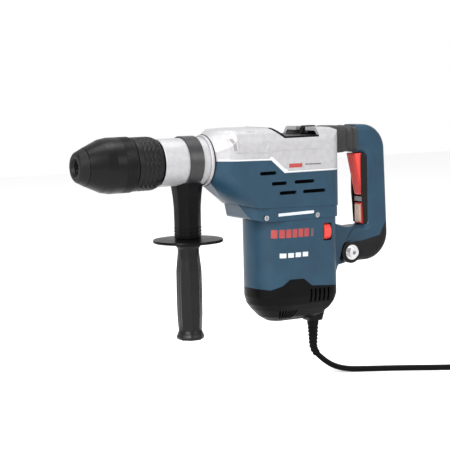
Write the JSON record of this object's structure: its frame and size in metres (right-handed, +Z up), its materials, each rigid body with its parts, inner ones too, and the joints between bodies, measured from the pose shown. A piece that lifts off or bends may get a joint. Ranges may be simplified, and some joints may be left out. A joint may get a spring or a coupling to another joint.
{
  "type": "rotary hammer",
  "caption": "Rotary hammer with a slotted bit holder, vertical motor, sprung D-shaped rear grip, swivelling side handle and a mains cord.",
  "frame": {"origin": "middle of the rear grip, in the tool's middle plane", "axes": "-X along the spindle towards the bit, +Z up from the motor to the gear case, Y across the tool"},
  "size_m": [0.7496, 0.1998, 0.3513],
  "materials": {
    "cast_metal": "fine cast, painted silver",
    "body_plastic": "blue glass-filled plastic, fine grain",
    "black_plastic": "black glass-filled plastic",
    "grip_rubber": "soft black overmould",
    "cord_rubber": "black flexible cord jacket",
    "band_steel": "black coated strip",
    "steel": "ground steel",
    "bright_steel": "bright zinc plated",
    "light_metal": "machined",
    "motor_iron": "stacked laminations",
    "copper_parts": "enamelled copper",
    "brass_parts": "bare brass",
    "carbon": "pressed carbon",
    "red_plastic": "red moulded plastic"
  },
  "bodies": {
    "housing": {"gear_housing": "cast_metal", "lower_shell": "body_plastic", "motor_shell": "body_plastic", "end_cap": "black_plastic", "bearing_plate": "cast_metal", "neck_housing": "cast_metal", "front_bearing": "steel", "spindle_seal": "grip_rubber", "tube_bush": "brass_parts", "stator_core": "motor_iron", "field_coils": "copper_parts", "armature_bearings": "steel", "brush_holders": "brass_parts", "carbon_brushes": "carbon", "control_module": "black_plastic", "selector_plate": "black_plastic", "housing_screws": "steel", "handle_springs": "steel", "bellows": "grip_rubber", "strain_relief": "cord_rubber", "cord_lead": "cord_rubber", "cord_coil": "cord_rubber", "cord_tail": "cord_rubber", "plug_body": "cord_rubber", "plug_blades": "brass_parts"},
    "spindle": {"tool_holder": "steel", "locking_rollers": "steel", "hammer_tube": "steel", "dust_cap": "grip_rubber", "rear_sleeve": "black_plastic", "sleeve_spring": "steel", "bevel_ring_gear": "steel"},
    "lock_sleeve": {"lock_sleeve": "black_plastic"},
    "impact_bolt": {"impact_bolt": "steel"},
    "striker": {"striker": "steel"},
    "piston": {"piston": "light_metal", "wrist_pin": "steel"},
    "con_rod": {"con_rod": "light_metal"},
    "crank": {"crank_gear": "steel"},
    "idler": {"idler_gear": "steel", "bevel_pinion": "steel"},
    "armature": {"armature_core": "motor_iron", "armature_shaft": "steel", "commutator": "copper_parts", "fan": "black_plastic"},
    "mode_knob": {"mode_knob": "black_plastic"},
    "speed_dial": {"speed_dial": "red_plastic"},
    "side_handle": {"handle_bracket": "black_plastic", "clamp_band": "band_steel", "guard_disc": "black_plastic", "clamp_rod": "steel"},
    "side_grip": {"side_grip": "grip_rubber"},
    "rear_handle": {"rear_handle": "body_plastic", "handle_jacket": "grip_rubber", "pivot_bolt": "bright_steel", "switch_body": "black_plastic", "trigger_pin": "steel"},
    "trigger": {"trigger": "red_plastic"},
    "lock_button": {"lock_button": "red_plastic"}
  },
  "joints": [
    {"name": "armature_spin", "type": "hinge", "parent": "housing", "child": "armature", "pos_m": [-0.164, 0, -0.043], "axis": [0, 0, 1], "continuous": true},
    {"name": "crank_spin", "type": "hinge", "parent": "housing", "child": "crank", "pos_m": [-0.129, 0, 0.017], "axis": [0, 0, 1], "continuous": true},
    {"name": "idler_spin", "type": "hinge", "parent": "housing", "child": "idler", "pos_m": [-0.1915, 0, 0.012], "axis": [0, 0, 1], "continuous": true},
    {"name": "spindle_spin", "type": "hinge", "parent": "housing", "child": "spindle", "pos_m": [-0.331, 0, 0.057], "axis": [1, 0, 0], "continuous": true},
    {"name": "lock_sleeve_slide", "type": "slide", "parent": "spindle", "child": "lock_sleeve", "axis": [1, 0, 0], "range_m": [0, 0.009], "stiffness_N_per_m": 1500, "springref_m": -0.008, "deforming": ["sleeve_spring"]},
    {"name": "impact_bolt_slide", "type": "slide", "parent": "spindle", "child": "impact_bolt", "axis": [1, 0, 0], "range_m": [-0.002, 0.003]},
    {"name": "piston_slide", "type": "slide", "parent": "housing", "child": "piston", "axis": [1, 0, 0], "range_m": [0, 0.034]},
    {"name": "striker_slide", "type": "slide", "parent": "housing", "child": "striker", "axis": [1, 0, 0], "range_m": [0, 0.034]},
    {"name": "con_rod_swing", "type": "hinge", "parent": "piston", "child": "con_rod", "pos_m": [-0.231, 0, 0.057], "axis": [0, 0, 1], "range_deg": [-11.5, 11.5]},
    {"name": "mode_knob_turn", "type": "hinge", "parent": "housing", "child": "mode_knob", "pos_m": [-0.107, 0, 0.087], "axis": [0, 0, 1], "range_deg": [0, 180]},
    {"name": "speed_dial_turn", "type": "hinge", "parent": "housing", "child": "speed_dial", "pos_m": [-0.108, -0.0355, -0.047], "axis": [1, 0, 0], "range_deg": [0, 270]},
    {"name": "side_handle_swivel", "type": "hinge", "parent": "housing", "child": "side_handle", "pos_m": [-0.3005, 0, 0.057], "axis": [1, 0, 0], "continuous": true},
    {"name": "side_grip_turn", "type": "hinge", "parent": "side_handle", "child": "side_grip", "pos_m": [-0.3005, 0, -0.113], "axis": [0, 0, 1], "range_deg": [0, 360]},
    {"name": "rear_handle_tilt", "type": "hinge", "parent": "housing", "child": "rear_handle", "pos_m": [-0.052, 0, -0.0825], "axis": [0, 1, 0], "range_deg": [-2, 0.2], "stiffness_Nm_per_rad": 400, "deforming": ["bellows", "handle_springs"]},
    {"name": "trigger_press", "type": "hinge", "parent": "rear_handle", "child": "trigger", "pos_m": [-0.0165, 0, 0.0515], "axis": [0, 1, 0], "range_deg": [-6, 0], "stiffness_Nm_per_rad": 2, "springref_deg": 5.73},
    {"name": "lock_button_press", "type": "slide", "parent": "rear_handle", "child": "lock_button", "axis": [1, 0, 0], "range_m": [0, 0.004], "stiffness_N_per_m": 600, "springref_m": -0.004}
  ],
  "couplings": [
    {"joint": "crank_spin", "follows": "armature_spin", "ratio": -0.21739},
    {"joint": "idler_spin", "follows": "armature_spin", "ratio": -0.29412},
    {"joint": "spindle_spin", "follows": "armature_spin", "ratio": 0.081699},
    {"joint": "striker_slide", "follows": "piston_slide", "ratio": 1}
  ]
}
